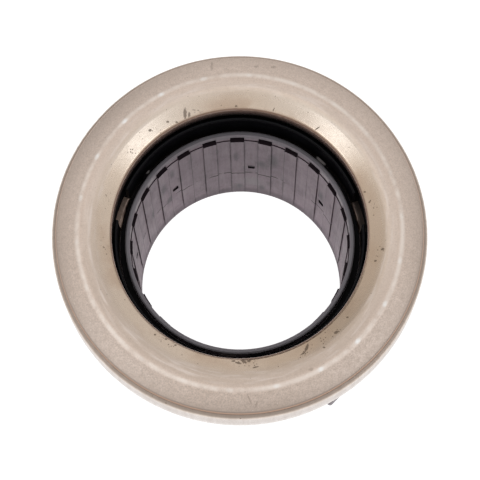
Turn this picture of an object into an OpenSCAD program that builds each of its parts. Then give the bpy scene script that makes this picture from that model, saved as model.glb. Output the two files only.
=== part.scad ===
// Clutch release bearing: a caged ball thrust bearing in a pressed steel shell,
// clipped to the flange of a moulded guide sleeve.
// Millimetres. The axis is Z, the sleeve's foot stands on z = 0 and the thrust face looks up.

/* [Guide sleeve] */
// Diameter of the guide bore, across its lands
bore_d = 43.5; // [40:0.5:48]
// Wall of the thin rim above the flange
rim_wall = 1.35; // [1.2:0.05:1.7]
// Depth by which the rim's inner wall stands back from the lands
collar_step = 0.45; // [0.35:0.05:0.6]
// Wall of the tube below the rim
tube_wall = 2.55; // [2.3:0.05:3.2]
// Chamfer on the edges of the foot and of the bore's mouth
foot_chamfer = 0.4; // [0.2:0.1:0.6]
// Chamfer on the edges of the rim
rim_chamfer = 0.25; // [0.1:0.05:0.35]

/* [Bore lands and grooves] */
// Grooves around the bore, between as many lands
groove_count = 24; // [12:1:28]
// Depth of each groove
groove_depth = 0.25; // [0.15:0.05:0.3]
// Share of the pitch that a groove takes
groove_share = 0.5; // [0.35:0.05:0.6]
// Height over which a groove fades out at its foot
groove_fade = 4; // [2:0.5:8]
// Distance from the foot collar up to the grooves
groove_sill = 0.5; // [0.3:0.1:2]
// Height of the plain collar at the foot
foot_collar_h = 1.2; // [0.8:0.1:3]
// Depth by which the foot collar stands back from the lands
foot_step = 0.02; // [0.01:0.01:0.1]
// Height of the ledge on top of the lands above the pilot
ledge_rise = 0.75; // [0.6:0.05:1.2]
// Sill between that ledge and the windows
window_sill = 0.05; // [0.05:0.05:0.3]
// Height of the window over each land
window_h = 1.65; // [1.2:0.05:2.2]
// Solid band between the windows and the rim
window_band = 1.5; // [1.3:0.1:2]
// Width of the oil slots in the grooves
oil_slot_w = 1.5; // [1:0.1:1.8]
// Height of the oil slots
oil_slot_h = 2.4; // [1.8:0.1:4]
// Rounding of the oil slots' corners
oil_slot_round = 0.45; // [0.2:0.05:0.45]
// Oil slots around the bore
oil_slot_count = 8; // [2:1:12]
// Height of the oil slots' middle above the foot
oil_slot_z = 19.3; // [10:0.1:24]

/* [Flange and fork lugs] */
// Height of the bearing's seat above the foot
seat_z = 36.2; // [32:0.1:42]
// Thickness of the flange
flange_t = 3.2; // [2.6:0.1:4.5]
// Width of the flange outside the tube
flange_w = 8.7; // [7:0.1:10]
// Width of each fork lug
lug_w = 20.8; // [12:0.2:22]
// Reach of a lug's flat face beyond the flange
lug_out = 2.6; // [1.5:0.05:4]
// Rounding of a lug's corners
lug_round = 0.6; // [0.3:0.1:2]
// Direction of the first lug around the axis, in degrees
lug_angle = 134; // [132:0.5:136]
// Height of the fork pad under each lug
pad_h = 0.8; // [0.4:0.1:2]
// Margin between a fork pad and the edges of its lug
pad_margin = 1.2; // [0.6:0.1:3]
// Height of the gussets under the flange
gusset_h = 9; // [4:0.5:14]
// Thickness of the gussets
gusset_t = 2; // [1.4:0.1:2.4]
// Distance from a gusset's tip to the flange's edge
gusset_margin = 1.2; // [0.6:0.1:3]

/* [Snap barbs] */
// Directions of the barbs on the rim, in degrees
barb_angles = [44.3, 140.9, 277]; // [0:0.1:360]
// Width of a barb along the rim
barb_w = 2.4; // [1:0.1:3]
// Reach of a barb beyond the rim
barb_out = 0.85; // [0.5:0.05:1]
// Height of a barb
barb_h = 1.1; // [0.8:0.1:1.1]
// Height of a barb's foot above the windows
barb_sill = 0.1; // [0.05:0.05:0.2]

/* [Retaining clips] */
// Directions of the clips, in degrees
clip_angles = [12.3, 162.5, 263]; // [0:0.1:360]
// Width of a clip along the circle
clip_w = 6.4; // [4:0.1:7]
// Thickness of the clip's spring steel
clip_t = 0.6; // [0.4:0.05:0.8]
// Reach of the clip's upper tongue
clip_tongue = 1.5; // [1.2:0.1:1.7]
// Reach of the clip's lower foot
clip_foot = 2.4; // [1.6:0.1:3]
// Play of a clip in its slot
clip_gap = 0.1; // [0.05:0.01:0.2]

/* [Thrust ring] */
// Gap between the sleeve's tube and the thrust ring's inner wall
face_gap = 1.1; // [1:0.05:2]
// Height of the crown above the ring's edges
crown_h = 1.75; // [1.2:0.05:2.2]
// Steel left between the ball groove and the crown
crown_web = 3.35; // [3.1:0.05:5]
// Width of the sloping flank inside the crown's land
inner_flank = 3.8; // [3:0.1:4.4]
// Width of the flat land that the clutch fingers press on
land_w = 2.8; // [2:0.1:3.4]
// Rounding between the land and its flanks
land_round = 3; // [1:0.1:4]
// Rise of the outer flank's bow over its chord
flank_bow = 0.18; // [0.1:0.01:0.25]
// Rounding of the thrust ring's inner edge
inner_round = 1; // [0.5:0.1:1.4]
// Rounding of the thrust ring's outer edge
outer_round = 0.8; // [0.4:0.1:0.8]
// Height of the crown's outer edge band
edge_band = 0.55; // [0.45:0.05:0.8]
// Depth of the neck that the shell's lip turns into
neck_depth = 1.2; // [0.9:0.1:1.8]

/* [Ball set] */
// Diameter of a ball
ball_d = 7.14; // [6.35:0.01:7.5]
// Balls around the circle
ball_count = 20; // [12:1:21]
// Distance from the thrust ring's inner wall to the ball circle
race_inset = 5.6; // [5.2:0.1:7]
// Distance from the ball circle to the thrust face's outer edge
race_outset = 5.5; // [5.2:0.1:7]
// Clearance between a ball and its grooves
race_gap = 0.12; // [0.05:0.01:0.2]
// Height of the cage
cage_h = 2.2; // [1.6:0.1:3]
// Wall of the cage beside a pocket
cage_wall = 0.9; // [0.6:0.1:1.1]
// Clearance between a ball and its pocket
pocket_gap = 0.2; // [0.1:0.05:0.3]
// Clearance over and under the cage
cage_gap = 0.6; // [0.3:0.1:1]

/* [Shell, lower race and seal] */
// Thickness of the shell's pressed sheet
shell_t = 0.75; // [0.6:0.05:0.9]
// Reach of the shell beyond the thrust face's edge
shell_proud = 0.8; // [0.5:0.05:1.2]
// Bend radius around the shell's foot, outside
foot_bend = 4; // [2.5:0.1:5]
// Bend radius around the shell's lip, outside
lip_bend = 1; // [0.9:0.05:1.2]
// Running clearance between the shell and the thrust ring
running_gap = 0.3; // [0.2:0.05:0.4]
// Play between the shell and the sleeve's pilot
pilot_gap = 0.15; // [0.1:0.05:0.3]
// Height of the sleeve's pilot above the shell's sheet
pilot_proud = 0.1; // [0.05:0.05:0.15]
// Steel left under the lower race's groove
race_web = 2.38; // [1.8:0.01:3.5]
// Distance from the thrust ring's inner wall out to the lower race
race_setback = 1.6; // [1.5:0.1:1.9]
// Play between the lower race and the shell's wall
race_play = 0.1; // [0.05:0.05:0.2]
// Thickness of the seal's web
seal_web = 1; // [0.8:0.1:1.6]
// Thickness of the seal's lip
seal_lip = 0.6; // [0.4:0.1:0.7]
// Gap between the seal's lip and the thrust ring's bore
seal_gap = 0.2; // [0.15:0.05:0.3]
// Drop of the seal's lip below the thrust ring
seal_drop = 0.6; // [0.4:0.1:1.5]
// Play around the seal's web
seal_play = 0.05; // [0.02:0.01:0.1]

/* [Hidden] */
$fn = 96;
// Depth by which moulded features start inside the wall that carries them
weld = 0.5;
// Depth of a barb's root in the thin rim
barb_root = 0.2;
// Length of a cut past the surface that it opens
past = 1;

// Radii, from the bore outwards
bore_r = bore_d / 2;
collar_r = bore_r + collar_step;
foot_r = bore_r + foot_step;
groove_r = bore_r + groove_depth;
rim_r = bore_r + rim_wall;
tube_r = bore_r + tube_wall;
flange_r = tube_r + flange_w;
lug_face = flange_r + lug_out;
clip_r = tube_r;
slot_in_r = clip_r - clip_gap;
slot_r = clip_r + clip_t + clip_gap;
face_in_r = tube_r + face_gap;
ball_r = ball_d / 2;
pitch_r = face_in_r + race_inset;
face_r = pitch_r + race_outset;
land_in_r = face_in_r + inner_flank;
land_out_r = land_in_r + land_w;
pocket_r = ball_r + pocket_gap;
groove_ball_r = ball_r + race_gap;
shell_r = face_r + shell_proud;
shell_in_r = shell_r - shell_t;
neck_r = face_r - neck_depth;
lip_r = neck_r + running_gap;
keeper_r = shell_in_r - running_gap;
race_in_r = face_in_r + race_setback;
race_out_r = shell_in_r - race_play;
lip_out_r = face_in_r - seal_gap;
lip_in_r = lip_out_r - seal_lip;
cage_in_r = pitch_r - pocket_r - cage_wall;
cage_out_r = pitch_r + pocket_r + cage_wall;

// Heights, from the foot upwards
flange_z = seat_z - flange_t;
sheet_z = seat_z + shell_t;
pilot_top = sheet_z + pilot_proud;
land_top = pilot_top + ledge_rise;
window_z = land_top + window_sill;
window_top = window_z + window_h;
sleeve_h = window_top + window_band;
ball_z = sheet_z + race_web + groove_ball_r;
race_top = ball_z - cage_h / 2 - cage_gap;
ring_z = ball_z + cage_h / 2 + cage_gap;
crest_z = ball_z + groove_ball_r + crown_web;
edge_z = crest_z - crown_h;
overhang_z = edge_z - edge_band;
lip_top = overhang_z - running_gap;
keeper_top = lip_top - shell_t - running_gap;
seal_top = ring_z - seal_drop;

// The crown's flanks: a cone inside the land, and outside it an arc bowed over its chord
inner_slope = crown_h / inner_flank;
inner_normal = 90 + atan(inner_slope);
flank_w = face_r - land_out_r;
flank_tilt = atan2(crown_h, flank_w);
flank_chord = norm([flank_w, crown_h]);
flank_r = (pow(flank_chord / 2, 2) + pow(flank_bow, 2)) / (2 * flank_bow);
flank_mid = [land_out_r + flank_w / 2, crest_z - crown_h / 2];
flank_c = flank_mid - (flank_r - flank_bow) * [sin(flank_tilt), cos(flank_tilt)];

// Angles
pitch_a = 360 / groove_count;
groove_a = pitch_a * groove_share;
land_a = pitch_a - groove_a;
clip_a = span(clip_w, clip_r);
slot_a = span(clip_w + 2 * clip_gap, clip_r);
// Turns of the gussets from the first lug
gusset_turns = [45, 80, 115, 145, 225, 260, 295, 325];
// Turn of the first groove with an oil slot, in pitches from the X axis
oil_groove = 2.5;

// Rounding of the lower race's corners, in the shell's bend and at the top
race_corner = foot_bend - shell_t + race_play;
race_edge = 0.4;

STEEL = [0.76, 0.70, 0.64];
BRIGHT_STEEL = [0.84, 0.80, 0.76];
SPRING_STEEL = [0.48, 0.43, 0.40];
GREY_PLASTIC = [0.38, 0.36, 0.38];
BLACK_RUBBER = [0.05, 0.05, 0.06];
CAGE_PLASTIC = [0.16, 0.16, 0.17];
BALL_STEEL = [0.88, 0.88, 0.90];

// Angle that a width takes on a circle
function span(width, radius) = width / radius * 180 / PI;
function ball_name(i) = str("ball_", i < 10 ? "0" : "", i);
// Other side of a right triangle
function leg(hypotenuse, side) = sqrt(pow(hypotenuse, 2) - pow(side, 2));
// Centre of a fillet of radius f in the corner where two lines with these normals meet
function corner_centre(corner, f, a0, a1) =
    let (middle = (a0 + a1) / 2)
    corner - f / cos((a1 - a0) / 2) * [cos(middle), sin(middle)];
// Centre of a fillet between the outer flank and the wall at radius wall_r
function flank_wall_centre(wall_r, f) =
    let (r = wall_r - f)
    [r, flank_c[1] + leg(flank_r - f, r - flank_c[0])];
// Centre of a fillet between the outer flank and the level top_z
function flank_top_centre(top_z, f) =
    let (z = top_z - f)
    [flank_c[0] + leg(flank_r - f, z - flank_c[1]), z];
// Direction from the outer flank's centre to a point
function flank_angle(p) = atan2(p[1] - flank_c[1], p[0] - flank_c[0]);

// Profile sector turned about the axis, centred on a direction
module sector(direction, angle) {
    rotate([0, 0, direction - angle / 2]) rotate_extrude(angle = angle) children();
}

// Rectangle between two radii and two heights
module band(r0, r1, z0, z1) {
    translate([r0, z0]) square([r1 - r0, z1 - z0]);
}

// The waste outside a corner fillet of radius f about a centre, between two directions
module corner_waste(centre, f, a0, a1) {
    reach = 3 * f;
    middle = (a0 + a1) / 2;
    translate(centre) difference() {
        polygon([
            [0, 0],
            reach * [cos(a0), sin(a0)],
            2 * reach * [cos(middle), sin(middle)],
            reach * [cos(a1), sin(a1)]
        ]);
        circle(f);
    }
}

// Solid cup section with rounded outer corners, from the axis out
module cup(r, z0, z1, low_f, high_f) {
    difference() {
        band(0, r, z0, z1);
        corner_waste([r - low_f, z0 + low_f], low_f, -90, 0);
        corner_waste([r - high_f, z1 - high_f], high_f, 0, 90);
    }
}

module sleeve_profile() {
    polygon([
        [foot_r + foot_chamfer, 0],
        [tube_r - foot_chamfer, 0],
        [tube_r, foot_chamfer],
        [tube_r, pilot_top],
        [rim_r, pilot_top],
        [rim_r, sleeve_h - rim_chamfer],
        [rim_r - rim_chamfer, sleeve_h],
        [collar_r + rim_chamfer, sleeve_h],
        [collar_r, sleeve_h - rim_chamfer],
        [collar_r, land_top],
        [bore_r, land_top],
        [bore_r, foot_collar_h],
        [foot_r, foot_collar_h],
        [foot_r, foot_chamfer]
    ]);
}

// Shallow bore groove that fades out above the foot collar
module groove_cut() {
    start = foot_collar_h + groove_sill;
    slope = groove_fade / groove_depth;
    polygon([
        [bore_r - past, start - past * slope],
        [groove_r, start + groove_fade],
        [groove_r, land_top + past],
        [bore_r - past, land_top + past]
    ]);
}

// Slot with rounded corners through the sleeve's wall, along X
module oil_slot() {
    corner = [oil_slot_w / 2 - oil_slot_round, oil_slot_h / 2 - oil_slot_round];
    rotate([90, 0, 90]) linear_extrude(tube_wall + 2 * past) difference() {
        translate([-oil_slot_w / 2, -oil_slot_h / 2]) square([oil_slot_w, oil_slot_h]);
        corner_waste(corner, oil_slot_round, 0, 90);
        corner_waste([-corner[0], corner[1]], oil_slot_round, 90, 180);
        corner_waste(-corner, oil_slot_round, 180, 270);
        corner_waste([corner[0], -corner[1]], oil_slot_round, 270, 360);
    }
}

// Square-ended lug seen along the axis
module lug_outline() {
    corner = [lug_face - lug_round, lug_w / 2 - lug_round];
    difference() {
        translate([0, -lug_w / 2]) square([lug_face, lug_w]);
        corner_waste(corner, lug_round, 0, 90);
        corner_waste([corner[0], -corner[1]], lug_round, -90, 0);
    }
}

// Flange with its two lugs, in one plate
module flange_plate() {
    translate([0, 0, flange_z]) linear_extrude(flange_t) difference() {
        union() {
            circle(flange_r);
            for (side = [0, 180]) rotate(lug_angle + side) lug_outline();
        }
        circle(tube_r - weld);
    }
}

// Raised pad under a lug, for a fork finger to press on
module fork_pad() {
    pad_in = tube_r + 2 * pad_margin;
    translate([pad_in, pad_margin - lug_w / 2, flange_z - pad_h])
        cube([lug_face - pad_margin - pad_in, lug_w - 2 * pad_margin, pad_h + weld]);
}

// Triangular rib; its sloping edge runs on into the tube and the flange
module gusset() {
    slope = gusset_h / (flange_r - gusset_margin - tube_r);
    rotate([90, 0, 0]) linear_extrude(gusset_t, center = true) polygon([
        [tube_r - weld, flange_z - gusset_h - weld * slope],
        [flange_r - gusset_margin + weld / slope, flange_z + weld],
        [tube_r - weld, flange_z + weld]
    ]);
}

// Snap nose with a sloping top that runs on into the rim
module barb_profile() {
    root_r = rim_r - barb_root;
    barb_foot = window_top + barb_sill;
    barb_top = barb_foot + barb_h;
    nose_z = barb_top - barb_h / 2;
    polygon([
        [root_r, barb_top + (barb_top - nose_z) * barb_root / barb_out],
        [rim_r + barb_out, nose_z],
        [rim_r + barb_out, barb_foot],
        [root_r, barb_foot]
    ]);
}

module guide_sleeve() {
    color(GREY_PLASTIC) difference() {
        union() {
            rotate_extrude() sleeve_profile();
            flange_plate();
            for (side = [0, 180]) rotate([0, 0, lug_angle + side]) fork_pad();
            for (turn = gusset_turns) rotate([0, 0, lug_angle + turn]) gusset();
            for (a = barb_angles) sector(a, span(barb_w, rim_r)) barb_profile();
        }
        for (i = [0:groove_count - 1]) {
            sector((i + 0.5) * pitch_a, groove_a) groove_cut();
            sector(i * pitch_a, land_a) band(collar_r - past, rim_r + past / 2, window_z, window_top);
        }
        for (a = clip_angles)
            sector(a, slot_a) band(slot_in_r, slot_r, flange_z - past, seat_z + past);
        for (i = [0:oil_slot_count - 1]) {
            groove = floor(i * groove_count / oil_slot_count) + oil_groove;
            rotate([0, 0, groove * pitch_a]) translate([bore_r - past, 0, oil_slot_z]) oil_slot();
        }
    }
}

// Spring clip bent to a C around the flange and the shell's sheet
module retaining_clip(direction) {
    low = flange_z - clip_t;
    high = sheet_z + clip_t;
    color(SPRING_STEEL) sector(direction, clip_a) difference() {
        union() {
            band(clip_r, clip_r + clip_t, low, high);
            band(clip_r, clip_r + clip_tongue, sheet_z, high);
            band(clip_r, clip_r + clip_foot, low, flange_z);
        }
        corner_waste([clip_r + clip_t, high - clip_t], clip_t, 90, 180);
        corner_waste([clip_r + clip_t, low + clip_t], clip_t, 180, 270);
    }
}

module retaining_shell() {
    color(BRIGHT_STEEL) difference() {
        rotate_extrude() difference() {
            cup(shell_r, seat_z, lip_top, foot_bend, lip_bend);
            cup(shell_in_r, sheet_z, lip_top - shell_t, foot_bend - shell_t, lip_bend - shell_t);
            band(0, lip_r, lip_top - 2 * shell_t, lip_top + past);
            band(0, tube_r + pilot_gap, seat_z - past, sheet_z + past);
        }
        for (a = clip_angles)
            sector(a, slot_a) band(tube_r - past, slot_r, seat_z - past, sheet_z + past);
    }
}

module lower_race() {
    color(STEEL) rotate_extrude() difference() {
        cup(race_out_r, sheet_z, race_top, race_corner, race_edge);
        band(0, race_in_r, sheet_z - past, race_top + past);
        translate([pitch_r, ball_z]) circle(groove_ball_r);
    }
}

// Rubber ring with an upstanding lip, notched where the clips pass
module inner_seal() {
    notch_r = clip_r + clip_tongue + clip_gap;
    color(BLACK_RUBBER) difference() {
        rotate_extrude() union() {
            band(lip_in_r, race_in_r - seal_play, sheet_z, sheet_z + seal_web);
            band(lip_in_r, lip_out_r, sheet_z, seal_top - seal_lip / 2);
            translate([lip_out_r - seal_lip / 2, seal_top - seal_lip / 2]) circle(seal_lip / 2);
        }
        for (a = clip_angles)
            sector(a, slot_a) band(lip_in_r - past, notch_r, sheet_z - past, seal_top + past);
    }
}

module ball_cage() {
    color(CAGE_PLASTIC) difference() {
        rotate_extrude() band(cage_in_r, cage_out_r, ball_z - cage_h / 2, ball_z + cage_h / 2);
        for (i = [1:ball_count]) rotate([0, 0, 360 * (i - 1) / ball_count])
            translate([pitch_r, 0, ball_z]) cylinder(r = pocket_r, h = cage_h + past, center = true);
    }
}

module ball(i) {
    color(BALL_STEEL) rotate([0, 0, 360 * (i - 1) / ball_count])
        translate([pitch_r, 0, ball_z]) sphere(d = ball_d);
}

// What is cut from the ring's top corners to leave the crown
module crown_waste() {
    run = past * inner_slope;
    polygon([
        [face_in_r - past, edge_z - run],
        [land_in_r + past, crest_z + run],
        [face_in_r - past, crest_z + run]
    ]);
    difference() {
        band(land_out_r - past, face_r + past, edge_z - past, crest_z + past);
        translate(flank_c) circle(flank_r);
    }
    inner_c = corner_centre([face_in_r, edge_z], inner_round, inner_normal, 180);
    corner_waste(inner_c, inner_round, inner_normal, 180);
    land_in_c = corner_centre([land_in_r, crest_z], land_round, 90, inner_normal);
    corner_waste(land_in_c, land_round, 90, inner_normal);
    land_out_c = flank_top_centre(crest_z, land_round);
    corner_waste(land_out_c, land_round, flank_angle(land_out_c), 90);
    outer_c = flank_wall_centre(face_r, outer_round);
    corner_waste(outer_c, outer_round, 0, flank_angle(outer_c));
}

// Crowned ring that the clutch fingers press on, with the upper ball groove in its underside
module thrust_ring() {
    color(STEEL) rotate_extrude() difference() {
        union() {
            band(face_in_r, face_r, overhang_z, crest_z);
            band(face_in_r, neck_r, ring_z, overhang_z);
            band(face_in_r, keeper_r, ring_z, keeper_top);
        }
        crown_waste();
        translate([pitch_r, ball_z]) circle(groove_ball_r);
    }
}

guide_sleeve();
retaining_clip(clip_angles[0]);  // retaining_clip_right
retaining_clip(clip_angles[1]);  // retaining_clip_left
retaining_clip(clip_angles[2]);  // retaining_clip_front
retaining_shell();
lower_race();
inner_seal();
ball_cage();
thrust_ring();
for (i = [1:ball_count])
    ball(i);
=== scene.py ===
# Looks of a clutch release bearing: its finishes, a white studio and the camera
import math

import bpy
from mathutils import Matrix, Vector

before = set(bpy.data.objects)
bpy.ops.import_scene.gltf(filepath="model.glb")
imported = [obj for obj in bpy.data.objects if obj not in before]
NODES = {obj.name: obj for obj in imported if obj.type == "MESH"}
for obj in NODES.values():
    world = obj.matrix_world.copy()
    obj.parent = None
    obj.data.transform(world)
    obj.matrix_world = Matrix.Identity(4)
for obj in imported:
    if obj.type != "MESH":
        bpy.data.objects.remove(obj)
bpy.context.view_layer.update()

MM = 0.001


# Node trees
class Shading:
    """A node tree, with short calls for the nodes that the finishes and the studio use."""

    def __init__(self, owner):
        owner.use_nodes = True
        self.tree = owner.node_tree

    def put(self, socket, value):
        """Links a socket to another, or sets its constant."""
        if isinstance(value, bpy.types.NodeSocket):
            self.tree.links.new(value, socket)
        elif socket.type == "RGBA" and len(value) == 3:
            socket.default_value = (*value, 1)
        else:
            socket.default_value = value

    def node(self, kind, inputs=(), **settings):
        made = self.tree.nodes.new("ShaderNode" + kind)
        for key, value in settings.items():
            setattr(made, key, value)
        for key, value in dict(inputs).items():
            self.put(made.inputs[key], value)
        return made

    def math(self, operation, *values):
        return self.node("Math", enumerate(values), operation=operation).outputs[0]

    def product(self, *values):
        total = values[0]
        for value in values[1:]:
            total = self.math("MULTIPLY", total, value)
        return total

    def vector(self, operation, *values):
        made = self.node("VectorMath", enumerate(values), operation=operation)
        return made.outputs["Value" if operation in ("LENGTH", "DOT_PRODUCT") else "Vector"]

    def scaled(self, value, by):
        return self.node("VectorMath", {0: value, "Scale": by}, operation="SCALE").outputs[0]

    def noise(self, at, scale, detail=3.0, roughness=0.55, distortion=0.0):
        inputs = {"Vector": at, "Scale": scale, "Detail": detail, "Roughness": roughness,
                  "Distortion": distortion}
        return self.node("TexNoise", inputs).outputs[0]

    def ease(self, value, start, end):
        """0 before start and 1 after end, with a smooth step between them."""
        inputs = {"Value": value, "From Min": start, "From Max": end}
        made = self.node("MapRange", inputs, interpolation_type="SMOOTHSTEP")
        return made.outputs[0]

    def band(self, value, first, second):
        """1 between two soft edges, each given as for ease."""
        return self.product(self.ease(value, *first), self.ease(value, *second))

    def near(self, value, middle, far, close):
        """1 within close of a middle and 0 beyond far."""
        return self.ease(self.math("ABSOLUTE", self.math("SUBTRACT", value, middle)), far, close)

    def span(self, value, start, end, low, high):
        """Maps start to low and end to high."""
        inputs = {"Value": value, "From Min": start, "From Max": end, "To Min": low, "To Max": high}
        return self.node("MapRange", inputs).outputs[0]

    def ramp(self, value, stops):
        """Colour along a value from the first stop to the last; each stop is (value, colour)."""
        first, last = stops[0][0], stops[-1][0]
        made = self.node("ValToRGB", {0: self.span(value, first, last, 0, 1)})
        elements = made.color_ramp.elements
        while len(elements) < len(stops):
            elements.new(0.5)
        for element, (place, colour) in zip(elements, stops):
            element.position = (place - first) / (last - first)
            element.color = (*colour, 1)
        return made.outputs[0]

    def blend(self, share, a, b):
        made = self.node("Mix", data_type="RGBA")
        self.put(made.inputs[0], share)
        self.put(made.inputs[6], a)
        self.put(made.inputs[7], b)
        return made.outputs[2]

    def tone(self, colour, mask, share, tint):
        """Lays a share of a tint over a colour where a mask is."""
        return self.blend(self.math("MULTIPLY", mask, share), colour, tint)

    def parts(self, at):
        return self.node("SeparateXYZ", {0: at}).outputs

    def join(self, x, y, z):
        return self.node("CombineXYZ", {0: x, 1: y, 2: z}).outputs[0]


# Names of the shader's sockets
SOCKETS = {
    "colour": "Base Color",
    "metal": "Metallic",
    "roughness": "Roughness",
    "normal": "Normal",
    "specular": "Specular IOR Level",
    "glow": "Emission Color",
    "glow_strength": "Emission Strength",
}


class Finish(Shading):
    """The node tree of one material."""

    def __init__(self, name):
        self.material = bpy.data.materials.new(name)
        super().__init__(self.material)
        self.shader = self.tree.nodes["Principled BSDF"]

    def bump(self, height, depth, under=None):
        """Bump of that depth, in millimetres, over an earlier bump."""
        inputs = {"Height": height, "Distance": depth * MM, "Strength": 1.0}
        if under is not None:
            inputs["Normal"] = under
        return self.node("Bump", inputs).outputs[0]

    def place(self):
        """Place on the piece, in millimetres."""
        return self.scaled(self.node("TexCoord").outputs["Object"], 1 / MM)

    def polar(self, at):
        """Distance from the axis, direction around it as a unit vector, and height."""
        x, y, z = self.parts(at)
        flat = self.join(x, y, 0.0)
        return self.vector("LENGTH", flat), self.vector("NORMALIZE", flat), z

    def shade(self, **sockets):
        for key, value in sockets.items():
            self.put(self.shader.inputs[SOCKETS[key]], value)
        return self.material


def circling(g, radius, around, fineness, reach):
    """Noise drawn out along the circles about the axis, as turning and polishing leave it."""
    x, y, _ = g.parts(g.scaled(around, reach))
    return g.noise(g.join(g.math("MULTIPLY", radius, fineness), x, y), 1.0, detail=2.0)


def upright(g, around, height, fineness, reach, **kind):
    """Noise drawn out along the height, as drawing and sliding leave it."""
    x, y, _ = g.parts(g.scaled(around, fineness))
    return g.noise(g.join(x, y, g.math("MULTIPLY", height, reach)), 1.0, **kind)


def specks(g, at, spacing, size, share):
    """Round dots of a size, one in some of the cells of a spacing."""
    cells = g.node("TexVoronoi", {"Vector": at, "Scale": 1 / spacing})
    near = g.ease(cells.outputs["Distance"], size / spacing, 0.4 * size / spacing)
    chosen = g.math("LESS_THAN", g.parts(cells.outputs["Color"])[0], share)
    return g.math("MULTIPLY", near, chosen)


# Marks on the faces and walls
ANY_HEIGHT = 1000
BORE_R = 21.85


def around_axis(direction, radius, height):
    """Point at a direction in degrees, a distance from the axis and a height."""
    turn = math.radians(direction)
    return (radius * math.cos(turn), radius * math.sin(turn), height)


def ovals(g, at, shapes, rag, core):
    """Ragged ovals, 1 in the core and 0 outside; each is its middle, its slant and its half sizes."""
    ragged = g.span(g.noise(at, 3.2, detail=4.0, roughness=0.7), 0.3, 0.7, rag, -rag)
    total = None
    for middle, slant, half in shapes:
        turn = (0, 0, math.radians(slant))
        inputs = {"Vector": at, "Location": middle, "Rotation": turn, "Scale": half}
        local = g.node("Mapping", inputs, vector_type="TEXTURE").outputs[0]
        mark = g.ease(g.math("ADD", g.vector("LENGTH", local), ragged), 1.05, core)
        total = mark if total is None else g.math("MAXIMUM", total, mark)
    return total


def patches(g, at, marks, rag):
    """Marks on a face, at any height."""
    shapes = []
    for direction, radius, length, width, slant in marks:
        shapes.append((around_axis(direction, radius, 0), slant, (length, width, ANY_HEIGHT)))
    return ovals(g, at, shapes, rag, 0.6)


def wall_stains(g, at, marks):
    """Soft marks on the wall of the bore."""
    shapes = []
    for direction, height, width, tall in marks:
        shapes.append((around_axis(direction, BORE_R, height), 0, (width, width, tall)))
    return ovals(g, at, shapes, 0.25, 0.1)


# Thrust ring
# Dirt marks: direction in degrees, radius, half length and half width in millimetres, slant in degrees
DIRT_MARKS = [
    (112.7, 26.7, 1.3, 0.42, 88),
    (111.2, 26.2, 0.6, 0.30, 80),
    (121.0, 26.8, 0.34, 0.26, 0),
    (129.3, 27.4, 0.42, 0.30, 20),
    (117.6, 25.9, 0.30, 0.22, 0),
    (90.0, 26.0, 0.30, 0.24, 0),
    (73.4, 26.1, 0.45, 0.16, 60),
    (52.3, 26.3, 0.65, 0.15, 28),
    (16.4, 26.1, 0.28, 0.22, 0),
    (11.6, 26.5, 0.50, 0.20, 55),
    (350.5, 28.4, 0.42, 0.32, 0),
    (345.4, 27.4, 0.28, 0.22, 0),
    (318.7, 27.4, 0.30, 0.24, 0),
    (311.0, 27.9, 0.60, 0.34, 30),
    (303.3, 28.8, 0.30, 0.22, 0),
    (297.6, 26.9, 1.0, 0.34, 68),
    (295.2, 27.6, 0.8, 0.20, 35),
    (275.0, 27.6, 0.7, 0.20, 10),
    (272.6, 26.1, 0.55, 0.32, 20),
    (270.3, 26.2, 0.8, 0.34, -30),
    (268.0, 26.5, 0.7, 0.26, -15),
    (266.0, 26.1, 0.45, 0.24, 0),
    (239.9, 26.1, 0.28, 0.22, 0),
    (235.1, 26.0, 0.32, 0.24, 0),
    (230.2, 26.6, 0.26, 0.20, 0),
]
# Fainter smears, most of them on the outer flank, in the same terms
SMEARS = [
    (97.8, 34.7, 1.2, 0.30, 90),
    (82.9, 34.3, 0.6, 0.35, 0),
    (77.2, 34.7, 0.6, 0.35, 0),
    (294.8, 31.3, 0.5, 0.35, 0),
    (271.9, 34.0, 1.3, 0.20, -65),
    (273.8, 34.9, 0.9, 0.20, 70),
]
# Patches where small dots gather, in the same terms
DOT_PATCHES = [
    (108.3, 26.5, 1.9, 1.0, -20),
    (127.5, 26.4, 1.2, 0.9, 0),
    (134.0, 28.0, 1.3, 1.0, 0),
    (141.0, 27.0, 1.2, 1.0, 0),
    (165.0, 26.8, 2.6, 1.0, 75),
    (185.0, 26.8, 2.2, 0.8, 95),
    (8.0, 27.0, 1.6, 0.8, 80),
    (350.0, 27.9, 1.6, 1.0, 60),
    (311.0, 28.0, 1.5, 0.9, 30),
    (305.0, 27.2, 2.4, 1.0, 60),
    (296.0, 27.6, 1.8, 1.0, 50),
    (272.0, 26.6, 2.6, 0.9, 0),
    (236.0, 26.4, 2.4, 0.8, -35),
]
# Tints of the steel by radius, and of the ring's inner wall by height; the steel darkens sharply at the
# outer edge, partly tarnish and partly painted shade where the ring meets the shell
RING_TINTS = [
    (25.4, (0.68, 0.50, 0.39)),
    (25.7, (0.79, 0.63, 0.50)),
    (26.2, (0.75, 0.605, 0.48)),
    (28.6, (0.75, 0.615, 0.50)),
    (30.0, (0.77, 0.64, 0.55)),
    (31.4, (0.75, 0.61, 0.52)),
    (33.5, (0.76, 0.625, 0.54)),
    (35.4, (0.67, 0.55, 0.475)),
    (36.0, (0.60, 0.49, 0.42)),
    (36.3, (0.34, 0.275, 0.24)),
    (36.6, (0.24, 0.195, 0.17)),
]
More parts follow.
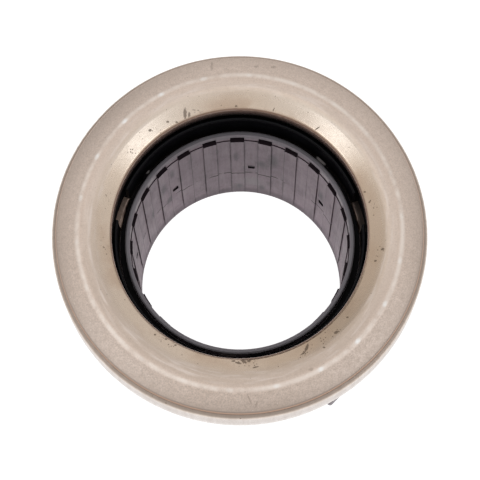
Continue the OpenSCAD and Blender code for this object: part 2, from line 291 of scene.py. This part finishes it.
# The inner wall's tints fade to black downward, as painted shade in the gap below the ring
WALL_TINTS = [
    (45.2, (0.015, 0.011, 0.010)),
    (46.2, (0.11, 0.066, 0.055)),
    (47.4, (0.25, 0.155, 0.115)),
    (48.2, (0.48, 0.32, 0.235)),
]
BROWN_FILM = (0.52, 0.35, 0.23)
BROWN_STEEL = (0.52, 0.37, 0.25)
PAINTED_GLARE_STEEL = (0.85, 0.745, 0.645)
FRONT_DARK_STEEL = (0.56, 0.45, 0.37)
CLOUDED_STEEL = (0.56, 0.44, 0.36)
FLANK_SHADE_STEEL = (0.47, 0.40, 0.36)
BACK_PALE_STEEL = (0.88, 0.74, 0.65)
MOTTLED_STEEL = (0.45, 0.36, 0.29)
PITTED_STEEL = (0.40, 0.33, 0.28)
SPARKLE = (0.95, 0.88, 0.82)
HAZED_STEEL = (0.86, 0.76, 0.70)
RIDGE_WEAR_AND_HIGHLIGHT = (0.93, 0.83, 0.75)
RUBBED_STEEL = (1.0, 0.98, 0.95)
SMEAR = (0.24, 0.18, 0.14)
DIRT = (0.10, 0.07, 0.05)
# Soft edges of the ring's zones, as radii for ease, and of its inner wall, as heights
BROWN_EDGE = (29.5, 26.0)
BROWN_SIDE_EDGE = (30.0, 28.0)
GLARE_EDGES = ((29.6, 28.6), (25.6, 26.2))
FRONT_DARK_EDGE = (31.8, 30.8)
FLANK_EDGE = (32.3, 33.0)
SPARKLE_EDGE = (32.4, 33.2)
WORN_EDGES = ((27.6, 29.4), (32.0, 30.0))
DOTTED_EDGES = ((25.6, 26.0), (30.5, 27.5))
FILM_EDGE = (25.45, 26.0)
WALL_EDGE = (48.42, 48.2)
# Directions of the side where the land and inner flank are darker, and of the side where the inner flank
# is brown
FRONT_DARK_SIDE = (-0.2, -0.98, 0)
BROWN_SIDE = (0.82, -0.57, 0)
# Ridge outside the land, and the spring's fingers that rub it
RIDGE_R = 32.1
FINGERS = 22
FIRST_FINGER = math.radians(134.2)
HARD_SIDE = math.radians(131)


def finger_rubs(g, radius, around):
    """Bright rubs on the ridge where the fingers of a spring press, hardest on two opposite sides."""
    step = 2 * math.pi / FINGERS
    x, y, _ = g.parts(around)
    turn = g.math("SUBTRACT", g.math("ARCTAN2", y, x), FIRST_FINGER)
    apart = g.math("PINGPONG", turn, step / 2)
    along = g.product(apart, radius, 0.6)
    far = g.vector("LENGTH", g.join(along, g.math("SUBTRACT", radius, RIDGE_R), 0.0))
    side = g.vector("DOT_PRODUCT", around, (math.cos(HARD_SIDE), math.sin(HARD_SIDE), 0))
    hard = g.span(g.math("POWER", side, 6.0), 0, 1, 0.15, 1.0)
    return g.product(g.ease(far, 0.6, 0.1), hard)


def aged_steel(g, radius, around, cloud, flank):
    """The ring's colour by side: brown inner flank, darker front, painted highlight and paler flank at the
    back, painted shade at the front corners.
    """
    x, y, _ = g.parts(around)
    abreast = g.math("ABSOLUTE", x)
    brown = g.product(g.ease(cloud, 0.40, 0.64), g.ease(radius, *BROWN_EDGE))
    colour = g.tone(g.ramp(radius, RING_TINTS), brown, 0.5, BROWN_FILM)
    towards = g.vector("DOT_PRODUCT", around, BROWN_SIDE)
    side = g.product(g.ease(towards, 0.3, 1.0), g.ease(radius, *BROWN_SIDE_EDGE))
    colour = g.tone(colour, side, 0.6, BROWN_STEEL)
    apart = g.span(abreast, 0.1, 0.6, 0.1, 1.0)
    # Painted highlight: the inner flank lightened at the back, where lamps glare on it
    glare = g.product(g.ease(y, 0.4, 0.7), g.band(radius, *GLARE_EDGES), apart)
    colour = g.tone(colour, glare, 0.7, PAINTED_GLARE_STEEL)
    # Darker towards the front on the land and inner flank
    towards = g.vector("DOT_PRODUCT", around, FRONT_DARK_SIDE)
    outwards = g.span(radius, 27.5, 29.5, 0.15, 1.0)
    front_dark = g.product(g.ease(towards, -0.2, 0.7), g.ease(radius, *FRONT_DARK_EDGE), outwards)
    colour = g.tone(colour, front_dark, 0.6, FRONT_DARK_STEEL)
    colour = g.tone(colour, g.ease(cloud, 0.5, 0.75), 0.2, CLOUDED_STEEL)
    # Painted shade: the outer flank darkened at the front left and front right
    flank_shade = g.product(g.ease(y, -0.3, -0.6), g.ease(abreast, 0.3, 0.65), flank)
    colour = g.tone(colour, flank_shade, 0.22, FLANK_SHADE_STEEL)
    # Paler towards the back on the outer flank
    back_pale = g.product(g.ease(y, -0.2, 0.4), flank)
    return g.tone(colour, back_pale, 0.3, BACK_PALE_STEEL)


def ring_dirt(g, at, radius):
    """Stray dots, dots gathered in patches, and single marks."""
    inner = g.span(g.band(radius, *DOTTED_EDGES), 0, 1, 0.3, 1.0)
    stray = g.product(specks(g, at, 1.1, 0.15, 0.3), inner)
    gathered = g.product(specks(g, at, 0.5, 0.19, 0.7), patches(g, at, DOT_PATCHES, 0.5))
    dots = g.math("MAXIMUM", stray, gathered)
    return g.math("MAXIMUM", dots, patches(g, at, DIRT_MARKS, 0.3))


def thrust_steel():
    g = Finish("thrust_steel")
    at = g.place()
    radius, around, height = g.polar(at)
    cloud = g.noise(at, 0.13, detail=4.0)
    mottle = g.noise(at, 1.1, detail=5.0, roughness=0.65)
    pits = g.noise(at, 3.4, detail=4.0, roughness=0.65)
    lines = circling(g, radius, around, 7.0, 9.0)
    streaks = circling(g, radius, around, 1.6, 5.0)
    flank = g.ease(radius, *FLANK_EDGE)
    colour = aged_steel(g, radius, around, cloud, flank)
    front = g.product(flank, g.span(g.parts(around)[1], 0.2, -0.7, 0.0, 0.6))
    coarse = g.math("ADD", g.span(radius, 28.0, 33.0, 0.4, 1.0), front)
    colour = g.blend(g.product(coarse, g.span(mottle, 0.3, 0.7, 0.0, 0.22)), colour, MOTTLED_STEEL)
    colour = g.blend(g.product(coarse, g.span(pits, 0.4, 0.7, 0.0, 0.42)), colour, PITTED_STEEL)
    bright = g.product(specks(g, at, 0.8, 0.15, 0.14), g.ease(radius, *SPARKLE_EDGE))
    colour = g.tone(colour, bright, 0.35, SPARKLE)
    haze = g.product(g.band(radius, *WORN_EDGES), g.ease(streaks, 0.45, 0.75))
    colour = g.tone(colour, haze, 0.45, HAZED_STEEL)
    # Polished wear line on the ridge, made brighter as a painted highlight
    broken = g.span(g.noise(at, 0.35, detail=3.0), 0.35, 0.6, 0.25, 1.0)
    line = g.product(g.near(radius, RIDGE_R, 0.75, 0.05), broken)
    colour = g.tone(colour, line, 0.75, RIDGE_WEAR_AND_HIGHLIGHT)
    rubs = g.product(finger_rubs(g, radius, around), g.span(mottle, 0.35, 0.55, 0.5, 1.0))
    colour = g.blend(rubs, colour, RUBBED_STEEL)
    colour = g.tone(colour, patches(g, at, SMEARS, 0.4), 0.35, SMEAR)
    dirt = ring_dirt(g, at, radius)
    colour = g.tone(colour, dirt, 0.65, DIRT)
    # Painted shade on the ring's inner wall, fading to black downward
    colour = g.blend(g.ease(height, *WALL_EDGE), colour, g.ramp(height, WALL_TINTS))
    rough = g.math("ADD", g.span(radius, 27.5, 30.0, 0.22, 0.36), g.span(radius, 31.5, 33.0, 0.0, 0.09))
    rough = g.math("ADD", rough, g.span(mottle, 0.3, 0.7, -0.03, 0.06))
    rough = g.math("ADD", rough, g.math("MULTIPLY", dirt, 0.3))
    metal = g.span(g.ease(radius, *FILM_EDGE), 0, 1, 0.3, 1.0)
    normal = g.bump(lines, 0.004)
    normal = g.bump(g.product(mottle, coarse), 0.007, normal)
    normal = g.bump(g.product(pits, coarse), 0.004, normal)
    return g.shade(colour=colour, metal=metal, roughness=rough, normal=normal)


# Shell
# Tints of the steel by height; the darkening towards the lip's top is painted shade under the ring's edge
SHELL_TINTS = [
    (36.0, (0.82, 0.76, 0.72)),
    (40.5, (0.72, 0.66, 0.62)),
    (42.5, (0.56, 0.49, 0.45)),
    (46.1, (0.58, 0.50, 0.45)),
    (46.5, (0.72, 0.64, 0.58)),
    (46.9, (0.68, 0.59, 0.52)),
    (47.2, (0.49, 0.40, 0.34)),
    (47.5, (0.37, 0.295, 0.245)),
]
CLOUDED_SHELL = (0.42, 0.34, 0.29)
DRAWN_SHELL = (0.40, 0.33, 0.28)
RUST = (0.16, 0.10, 0.07)
SHELL_INSIDE_SHADE = (0.02, 0.015, 0.012)
# Soft edge of the painted shade on the shell's inside, as radii for ease
INSIDE_SHADE_EDGE = (36.5, 36.2)


def shell_steel():
    g = Finish("shell_steel")
    at = g.place()
    radius, around, height = g.polar(at)
    cloud = g.noise(at, 0.16, detail=4.0)
    mottle = g.noise(at, 1.4, detail=5.0, roughness=0.65)
    drawn = upright(g, around, height, 40.0, 0.12, detail=3.0)
    # The height tints include painted shade at the lip's top
    colour = g.tone(g.ramp(height, SHELL_TINTS), g.ease(cloud, 0.4, 0.75), 0.3, CLOUDED_SHELL)
    colour = g.blend(g.span(drawn, 0.35, 0.7, 0.0, 0.2), colour, DRAWN_SHELL)
    rust = g.product(specks(g, at, 0.9, 0.2, 0.22), g.ease(cloud, 0.44, 0.58))
    colour = g.tone(colour, rust, 0.7, RUST)
    # Painted shade: the shell's inside, under the ring, near black
    colour = g.blend(g.ease(radius, *INSIDE_SHADE_EDGE), colour, SHELL_INSIDE_SHADE)
    rough = g.math("ADD", g.span(drawn, 0.3, 0.7, 0.24, 0.34), g.span(mottle, 0.3, 0.7, -0.03, 0.05))
    rough = g.math("ADD", rough, g.span(height, 46.7, 47.2, 0.0, 0.25))
    normal = g.bump(drawn, 0.004)
    normal = g.bump(mottle, 0.005, normal)
    return g.shade(colour=colour, metal=1.0, roughness=rough, normal=normal)


# Guide sleeve
# Parts of the barbs that show through the painted shade around the rim, in the terms of the dirt marks
BARE_BARBS = [
    (140.4, 23.8, 0.5, 0.38, 50),
    (44.3, 23.7, 1.5, 0.5, -46),
]
# Stains on the bore's wall, and a faded place: direction in degrees, height, half width and half height
BORE_STAINS = [
    (91.0, 27.5, 1.0, 4.5),
    (76.3, 23.5, 1.5, 3.2),
    (89.0, 5.5, 1.0, 2.5),
    (76.2, 5.5, 1.0, 2.8),
    (147.0, 19.5, 1.0, 4.0),
    (136.0, 27.0, 1.4, 5.0),
    (128.5, 31.0, 1.0, 4.0),
    (133.0, 16.0, 1.4, 3.0),
    (70.0, 27.0, 1.8, 7.0),
    (38.0, 24.0, 1.2, 5.0),
]
FADED_PLACE = [(82.5, 8.5, 4.2, 5.0)]
OUTER_DARK = (0.225, 0.196, 0.210)
OUTER_PALE = (0.280, 0.243, 0.261)
BORE_LIGHTENED_DARK = (0.325, 0.256, 0.287)
BORE_LIGHTENED_PALE = (0.40, 0.315, 0.353)
FIBRE = (0.10, 0.08, 0.09)
RUBBED_PLASTIC = (0.44, 0.36, 0.39)
LOW_DARK_PLASTIC = (0.12, 0.085, 0.105)
SOILED_PLASTIC = (0.11, 0.095, 0.10)
BACK_SHADE_PLASTIC = (0.13, 0.108, 0.118)
FADED_PLASTIC = (0.31, 0.29, 0.295)
STAIN = (0.10, 0.095, 0.104)
SEAM_AND_SHADE_LINE = (0.04, 0.028, 0.034)
RIM_PLASTIC = (0.21, 0.195, 0.21)
LEDGE_SHADE = (0.03, 0.02, 0.025)
TOP_SHADED_BEHIND = (0.09, 0.085, 0.092)
TOP_LIT_IN_FRONT = (0.21, 0.196, 0.21)
STEP_SHADE = (0.02, 0.014, 0.017)
GLINT = (0.75, 0.72, 0.71)
WINDOW_SHADE = (0.014, 0.008, 0.011)
DEEP_SHADE = (0.005, 0.004, 0.005)
BARE_PLASTIC = (0.22, 0.20, 0.195)
# Soft edges of the sleeve's zones, as radii for ease
BORE_EDGE = (22.6, 22.3)
LAND_EDGE = (21.95, 21.8)
STEP_EDGES = ((21.77, 21.82), (21.98, 21.93))
GROOVE_EDGE = (21.98, 22.03)
SLOT_EDGE = (22.03, 22.1)
DEEP_SHADE_EDGES = ((23.08, 23.2), (26.5, 26.0))
# The same, as heights
LAND_LOW_SPAN = (9.0, 0.5)
FOOT_LOW_SPAN = (1.6, 0.4)
STEP_START = (5.0, 5.5)
DEEP_SHADE_START = (36.5, 36.9)
WINDOW_EDGES = ((37.66, 37.78), (39.6, 39.5))
LAND_END = (37.8, 37.7)
GLINT_EDGES = ((38.1, 38.3), (40.4, 40.0))
RIM_START = (38.6, 39.6)
BARB_START = (39.0, 39.4)
TOP_START = (40.8, 40.95)
# Heights of the dark seam, of the oil slots and of the ledge between the bore and the rim
SEAM_Z = 15.3
OIL_SLOT_Z = 19.3
LEDGE_Z = 37.8
# Windows under the rim, half the turn that each one takes, and the turn of a painted shade line at a
# land's edge
WINDOWS = 24
WINDOW_TURN = math.radians(3.75)
EDGE_TURN = math.radians(0.5)


class Sleeve(Finish):
    """The sleeve's plastic, with the places and noises that its layers share."""

    def __init__(self, name):
        super().__init__(name)
        self.at = self.place()
        self.radius, self.around, self.height = self.polar(self.at)
        self.right, self.back, _ = self.parts(self.around)
        self.bore = self.ease(self.radius, *BORE_EDGE)
        tall = self.vector("MULTIPLY", self.at, (1, 1, 0.25))
        self.cloud = self.noise(self.at, 0.2, detail=4.0)
        self.smudge = self.noise(tall, 0.45, detail=5.0, roughness=0.65)
        self.fibre = self.noise(tall, 2.6, detail=5.0, roughness=0.7, distortion=0.6)
        self.rubbed = upright(self, self.around, self.height, 30.0, 0.08, detail=4.0, roughness=0.6)

    def base(self):
        """Grey plastic with fibres and rubs, paler in the bore as painted light against the bore's shade.
        """
        shift = self.ease(self.cloud, 0.35, 0.7)
        outer = self.blend(shift, OUTER_DARK, OUTER_PALE)
        inner = self.blend(shift, BORE_LIGHTENED_DARK, BORE_LIGHTENED_PALE)
        colour = self.blend(self.bore, outer, inner)
        colour = self.blend(self.span(self.fibre, 0.35, 0.7, 0.0, 0.15), colour, FIBRE)
        rubs = self.span(self.rubbed, 0.45, 0.75, 0.0, 0.45)
        rubs = self.product(rubs, self.span(self.bore, 0, 1, 0.2, 1.0))
        return self.blend(rubs, colour, RUBBED_PLASTIC)

    def marks_and_shade(self, colour):
        """Darkening low down, dirt, painted shade at the back, and the seam in the bore."""
        # Darker towards the bottom of the lands and at the foot
        lands = self.product(self.bore, self.ease(self.radius, *LAND_EDGE))
        lands = self.product(lands, self.ease(self.height, *LAND_LOW_SPAN))
        marks_and_shade = self.math("MAXIMUM", lands, self.ease(self.height, *FOOT_LOW_SPAN))
        colour = self.tone(colour, marks_and_shade, 0.8, LOW_DARK_PLASTIC)
        soiled = self.product(self.bore, self.ease(self.smudge, 0.5, 0.7))
        colour = self.tone(colour, soiled, 0.35, SOILED_PLASTIC)
        # Painted shade: the far wall of the bore darkened at the back
        back_shade = self.product(self.bore, self.ease(self.back, 0.75, 0.97))
        colour = self.tone(colour, back_shade, 0.25, BACK_SHADE_PLASTIC)
        faded = self.product(wall_stains(self, self.at, FADED_PLACE), self.bore)
        colour = self.tone(colour, faded, 0.6, FADED_PLASTIC)
        stains = self.product(wall_stains(self, self.at, BORE_STAINS), self.bore)
        colour = self.tone(colour, stains, 0.65, STAIN)
        level = self.math("ADD", self.height, self.span(self.smudge, 0.3, 0.7, -0.3, 0.3))
        seam = self.product(self.near(level, SEAM_Z, 0.4, 0.2), self.bore)
        seam = self.product(seam, self.ease(self.cloud, 0.48, 0.53))
        return self.tone(colour, seam, 0.85, SEAM_AND_SHADE_LINE)

    def edged(self, colour):
        """The rim, its barbs and glint, and painted light and shade: on the rim's top, in the windows, the
        gap and the oil slots, and along the ledge, steps and lands' edges.
        """
        colour = self.tone(colour, self.ease(self.height, *RIM_START), 0.7, RIM_PLASTIC)
        # Painted shade: a dark line along the ledge at the lands' top ends
        ledge = self.product(self.near(self.height, LEDGE_Z, 0.2, 0.1), self.bore)
        ledge = self.product(ledge, self.ease(self.radius, *GROOVE_EDGE))
        colour = self.blend(ledge, colour, LEDGE_SHADE)
        # Painted light and shade: the rim's top lighter in front and darker behind
        top = self.blend(self.ease(self.back, 0.85, 0.3), TOP_SHADED_BEHIND, TOP_LIT_IN_FRONT)
        colour = self.tone(colour, self.ease(self.height, *TOP_START), 0.8, top)
        # Painted shade: dark lines on the steps at the lands' sides
        step = self.product(self.band(self.radius, *STEP_EDGES), self.ease(self.height, *STEP_START))
        colour = self.tone(colour, step, 0.8, STEP_SHADE)
        slot = self.product(self.near(self.height, OIL_SLOT_Z, 1.4, 1.3), self.bore)
        slot = self.product(slot, self.ease(self.radius, *SLOT_EDGE))
        # Painted shade: dark lines at the lands' edges under the windows
        beside = self.math("PINGPONG", self.math("ARCTAN2", self.back, self.right), math.pi / WINDOWS)
        edge = self.product(self.near(beside, WINDOW_TURN, EDGE_TURN, 0.3 * EDGE_TURN), self.bore)
        edge = self.product(edge, self.ease(self.height, *LAND_END))
        edge = self.product(edge, self.span(self.smudge, 0.35, 0.6, 0.15, 0.6))
        colour = self.blend(edge, colour, SEAM_AND_SHADE_LINE)
        abreast = self.ease(self.math("ABSOLUTE", self.right), 0.66, 0.85)
        glint = self.product(self.band(self.height, *GLINT_EDGES), abreast)
        glint = self.product(glint, self.ease(beside, WINDOW_TURN, 1.1 * WINDOW_TURN), self.bore)
        colour = self.tone(colour, glint, 0.4, GLINT)
        # Painted shade: the windows under the rim darkened
        window = self.ease(beside, WINDOW_TURN, 0.95 * WINDOW_TURN)
        window = self.product(window, self.band(self.height, *WINDOW_EDGES))
        colour = self.blend(window, colour, WINDOW_SHADE)
        # Painted shade: near black in the gap around the rim and in the oil slots
        outside = self.band(self.radius, *DEEP_SHADE_EDGES)
        outside = self.product(outside, self.ease(self.height, *DEEP_SHADE_START))
        colour = self.blend(self.math("MAXIMUM", outside, slot), colour, DEEP_SHADE)
        bare = self.product(patches(self, self.at, BARE_BARBS, 0.2), self.ease(self.height, *BARB_START))
        return self.blend(self.product(bare, outside), colour, BARE_PLASTIC)


def grey_plastic():
    g = Sleeve("grey_plastic")
    colour = g.edged(g.marks_and_shade(g.base()))
    rough = g.math("ADD", g.span(g.rubbed, 0.3, 0.7, 0.56, 0.46), g.span(g.fibre, 0.3, 0.7, -0.04, 0.06))
    normal = g.bump(g.fibre, 0.01)
    normal = g.bump(g.rubbed, 0.01, normal)
    return g.shade(colour=colour, roughness=rough, normal=normal, specular=0.1)


# Smaller pieces
# Inner radius of the clips, and the sideways places between which the right clip's shade sets in
CLIP_R = 24.4
RIGHT_CLIP = (15.0, 20.0)


def black_rubber():
    g = Finish("black_rubber")
    at = g.place()
    grain = g.noise(at, 3.0, detail=4.0)
    dust = g.ease(g.noise(at, 0.5, detail=4.0), 0.5, 0.8)
    colour = g.tone((0.002, 0.002, 0.003), dust, 0.4, (0.010, 0.010, 0.015))
    rough = g.span(grain, 0.3, 0.7, 0.42, 0.58)
    return g.shade(colour=colour, roughness=rough, normal=g.bump(grain, 0.008), specular=0.15)


def spring_steel():
    g = Finish("spring_steel")
    at = g.place()
    cloud = g.noise(at, 0.6, detail=4.0)
    grain = g.noise(at, 4.0, detail=4.0)
    colour = g.blend(g.ease(cloud, 0.35, 0.7), (0.40, 0.30, 0.25), (0.22, 0.16, 0.13))
    shaded = g.ease(g.polar(at)[0], CLIP_R + 0.15, CLIP_R + 0.3)
    shaded = g.product(shaded, g.ease(g.parts(at)[0], *RIGHT_CLIP))
    colour = g.tone(colour, shaded, 0.9, (0.03, 0.025, 0.023))
    rough = g.span(grain, 0.3, 0.7, 0.32, 0.46)
    return g.shade(colour=colour, metal=1.0, roughness=rough, normal=g.bump(grain, 0.004))


def race_steel():
    g = Finish("race_steel")
    at = g.place()
    radius, around, _ = g.polar(at)
    lines = circling(g, radius, around, 8.0, 6.0)
    grease = g.ease(g.noise(at, 0.3, detail=4.0), 0.42, 0.65)
    colour = g.tone((0.58, 0.55, 0.52), grease, 0.7, (0.30, 0.22, 0.13))
    rough = g.span(lines, 0.3, 0.7, 0.18, 0.30)
    return g.shade(colour=colour, metal=1.0, roughness=rough, normal=g.bump(lines, 0.003))


def ball_steel():
    g = Finish("ball_steel")
    at = g.place()
    grease = g.ease(g.noise(at, 0.45, detail=4.0), 0.45, 0.7)
    haze = g.noise(at, 3.0, detail=3.0)
    colour = g.tone((0.76, 0.76, 0.78), grease, 0.5, (0.42, 0.34, 0.22))
    rough = g.math("ADD", g.span(haze, 0.3, 0.7, 0.06, 0.12), g.math("MULTIPLY", grease, 0.12))
    return g.shade(colour=colour, metal=1.0, roughness=rough)


def cage_plastic():
    g = Finish("cage_plastic")
    at = g.place()
    flow = g.noise(at, 0.7, detail=4.0, distortion=0.8)
    grain = g.noise(at, 4.0, detail=4.0)
    colour = g.blend(g.ease(flow, 0.35, 0.7), (0.022, 0.022, 0.025), (0.045, 0.043, 0.042))
    rough = g.span(grain, 0.3, 0.7, 0.42, 0.58)
    return g.shade(colour=colour, roughness=rough, normal=g.bump(grain, 0.01))


def dress(names, material):
    """Gives the named nodes one finish."""
    for name in names:
        mesh = NODES[name].data
        mesh.materials.clear()
        mesh.materials.append(material)


balls = sorted(name for name in NODES if name.startswith("ball_") and name != "ball_cage")
clips = sorted(name for name in NODES if name.startswith("retaining_clip"))
dress(["thrust_ring"], thrust_steel())
dress(["retaining_shell"], shell_steel())
dress(["guide_sleeve"], grey_plastic())
dress(["inner_seal"], black_rubber())
dress(clips, spring_steel())
dress(["lower_race"], race_steel())
dress(["ball_cage"], cage_plastic())
dress(balls, ball_steel())


# Studio
FLOOR_REACH = 3.0
BOX_WHITE = (0.94, 1.0, 1.05)
# Directions of the glow behind and of the dim place, and the room's brightness by height
GLOW_WAY = (0, 0.8, 0.6)
DIM_WAY = (-0.57, 0.76, 0.31)
ROOM_LEVELS = [
    (-0.2, 0.50),
    (0.15, 0.55),
    (0.35, 0.69),
    (0.60, 0.71),
    (0.75, 0.75),
    (0.87, 0.78),
    (1.0, 0.82),
]


def grey(level):
    return (level, level, level)


def floor():
    """Plain white table top, lit from within as a light table is."""
    mesh = bpy.data.meshes.new("floor")
    corners = [(-1, -1), (1, -1), (1, 1), (-1, 1)]
    points = [(x * FLOOR_REACH, y * FLOOR_REACH, 0) for x, y in corners]
    mesh.from_pydata(points, [], [(0, 1, 2, 3)])
    table = bpy.data.objects.new("floor", mesh)
    bpy.context.scene.collection.objects.link(table)
    g = Finish("floor_white")
    white = g.shade(colour=grey(0.15), roughness=0.6, glow=grey(1.0), glow_strength=1.0)
    mesh.materials.append(white)


def softbox(name, azimuth, elevation, distance, size, power, colour):
    """Area light at a direction from the object, turned towards it."""
    a, e = math.radians(azimuth), math.radians(elevation)
    back = Vector((math.sin(a) * math.cos(e), -math.cos(a) * math.cos(e), math.sin(e)))
    data = bpy.data.lights.new(name, "AREA")
    data.shape = "DISK"
    data.size = size
    data.energy = power
    data.color = colour
    lamp = bpy.data.objects.new(name, data)
    lamp.location = back * distance
    lamp.rotation_mode = "QUATERNION"
    lamp.rotation_quaternion = back.to_track_quat("Z", "Y")
    bpy.context.scene.collection.objects.link(lamp)


def studio():
    """A pale room, dim near the horizon and behind on the left, with three soft boxes."""
    world = bpy.data.worlds.new("studio")
    g = Shading(world)
    way = g.node("TexCoord").outputs["Generated"]
    level = g.ramp(g.parts(way)[2], [(height, grey(share)) for height, share in ROOM_LEVELS])
    glow = g.ease(g.vector("DOT_PRODUCT", way, GLOW_WAY), 0.75, 1.0)
    level = g.tone(level, glow, 0.5, grey(0.86))
    dim = g.ease(g.vector("DOT_PRODUCT", way, DIM_WAY), 0.955, 0.985)
    level = g.tone(level, dim, 0.8, grey(0.2))
    g.put(g.tree.nodes["Background"].inputs["Color"], level)
    scene = bpy.context.scene
    scene.world = world
    scene.view_settings.view_transform = "Standard"
    softbox("overhead", 252, 79, 1.0, 0.5, 0.15, grey(1.0))
    softbox("left_box", 300, 45, 1.0, 0.44, 0.66, BOX_WHITE)
    softbox("right_box", 60, 45, 1.0, 0.44, 0.62, BOX_WHITE)


# Camera, fitted to the photograph's ellipses
CAMERA_TARGET = Vector((0.04, -1.70, 48.3)) * MM
CAMERA_DISTANCE = 404.3 * MM
CAMERA_ELEVATION = math.radians(75.57)
CAMERA_ROLL = math.radians(-1.52)
CAMERA_LENS = 153.49
CAMERA_SENSOR = 36.0


def camera():
    data = bpy.data.cameras.new("camera")
    data.sensor_width = CAMERA_SENSOR
    data.lens = CAMERA_LENS
    data.clip_start = 0.01
    data.clip_end = 20.0
    made = bpy.data.objects.new("camera", data)
    tilt = Matrix.Rotation(math.pi / 2 - CAMERA_ELEVATION, 4, "X")
    roll = Matrix.Rotation(CAMERA_ROLL, 4, "Z")
    back = tilt @ Vector((0, 0, 1))
    made.matrix_world = Matrix.Translation(CAMERA_TARGET + back * CAMERA_DISTANCE) @ tilt @ roll
    bpy.context.scene.collection.objects.link(made)
    bpy.context.scene.camera = made


floor()
studio()
camera()
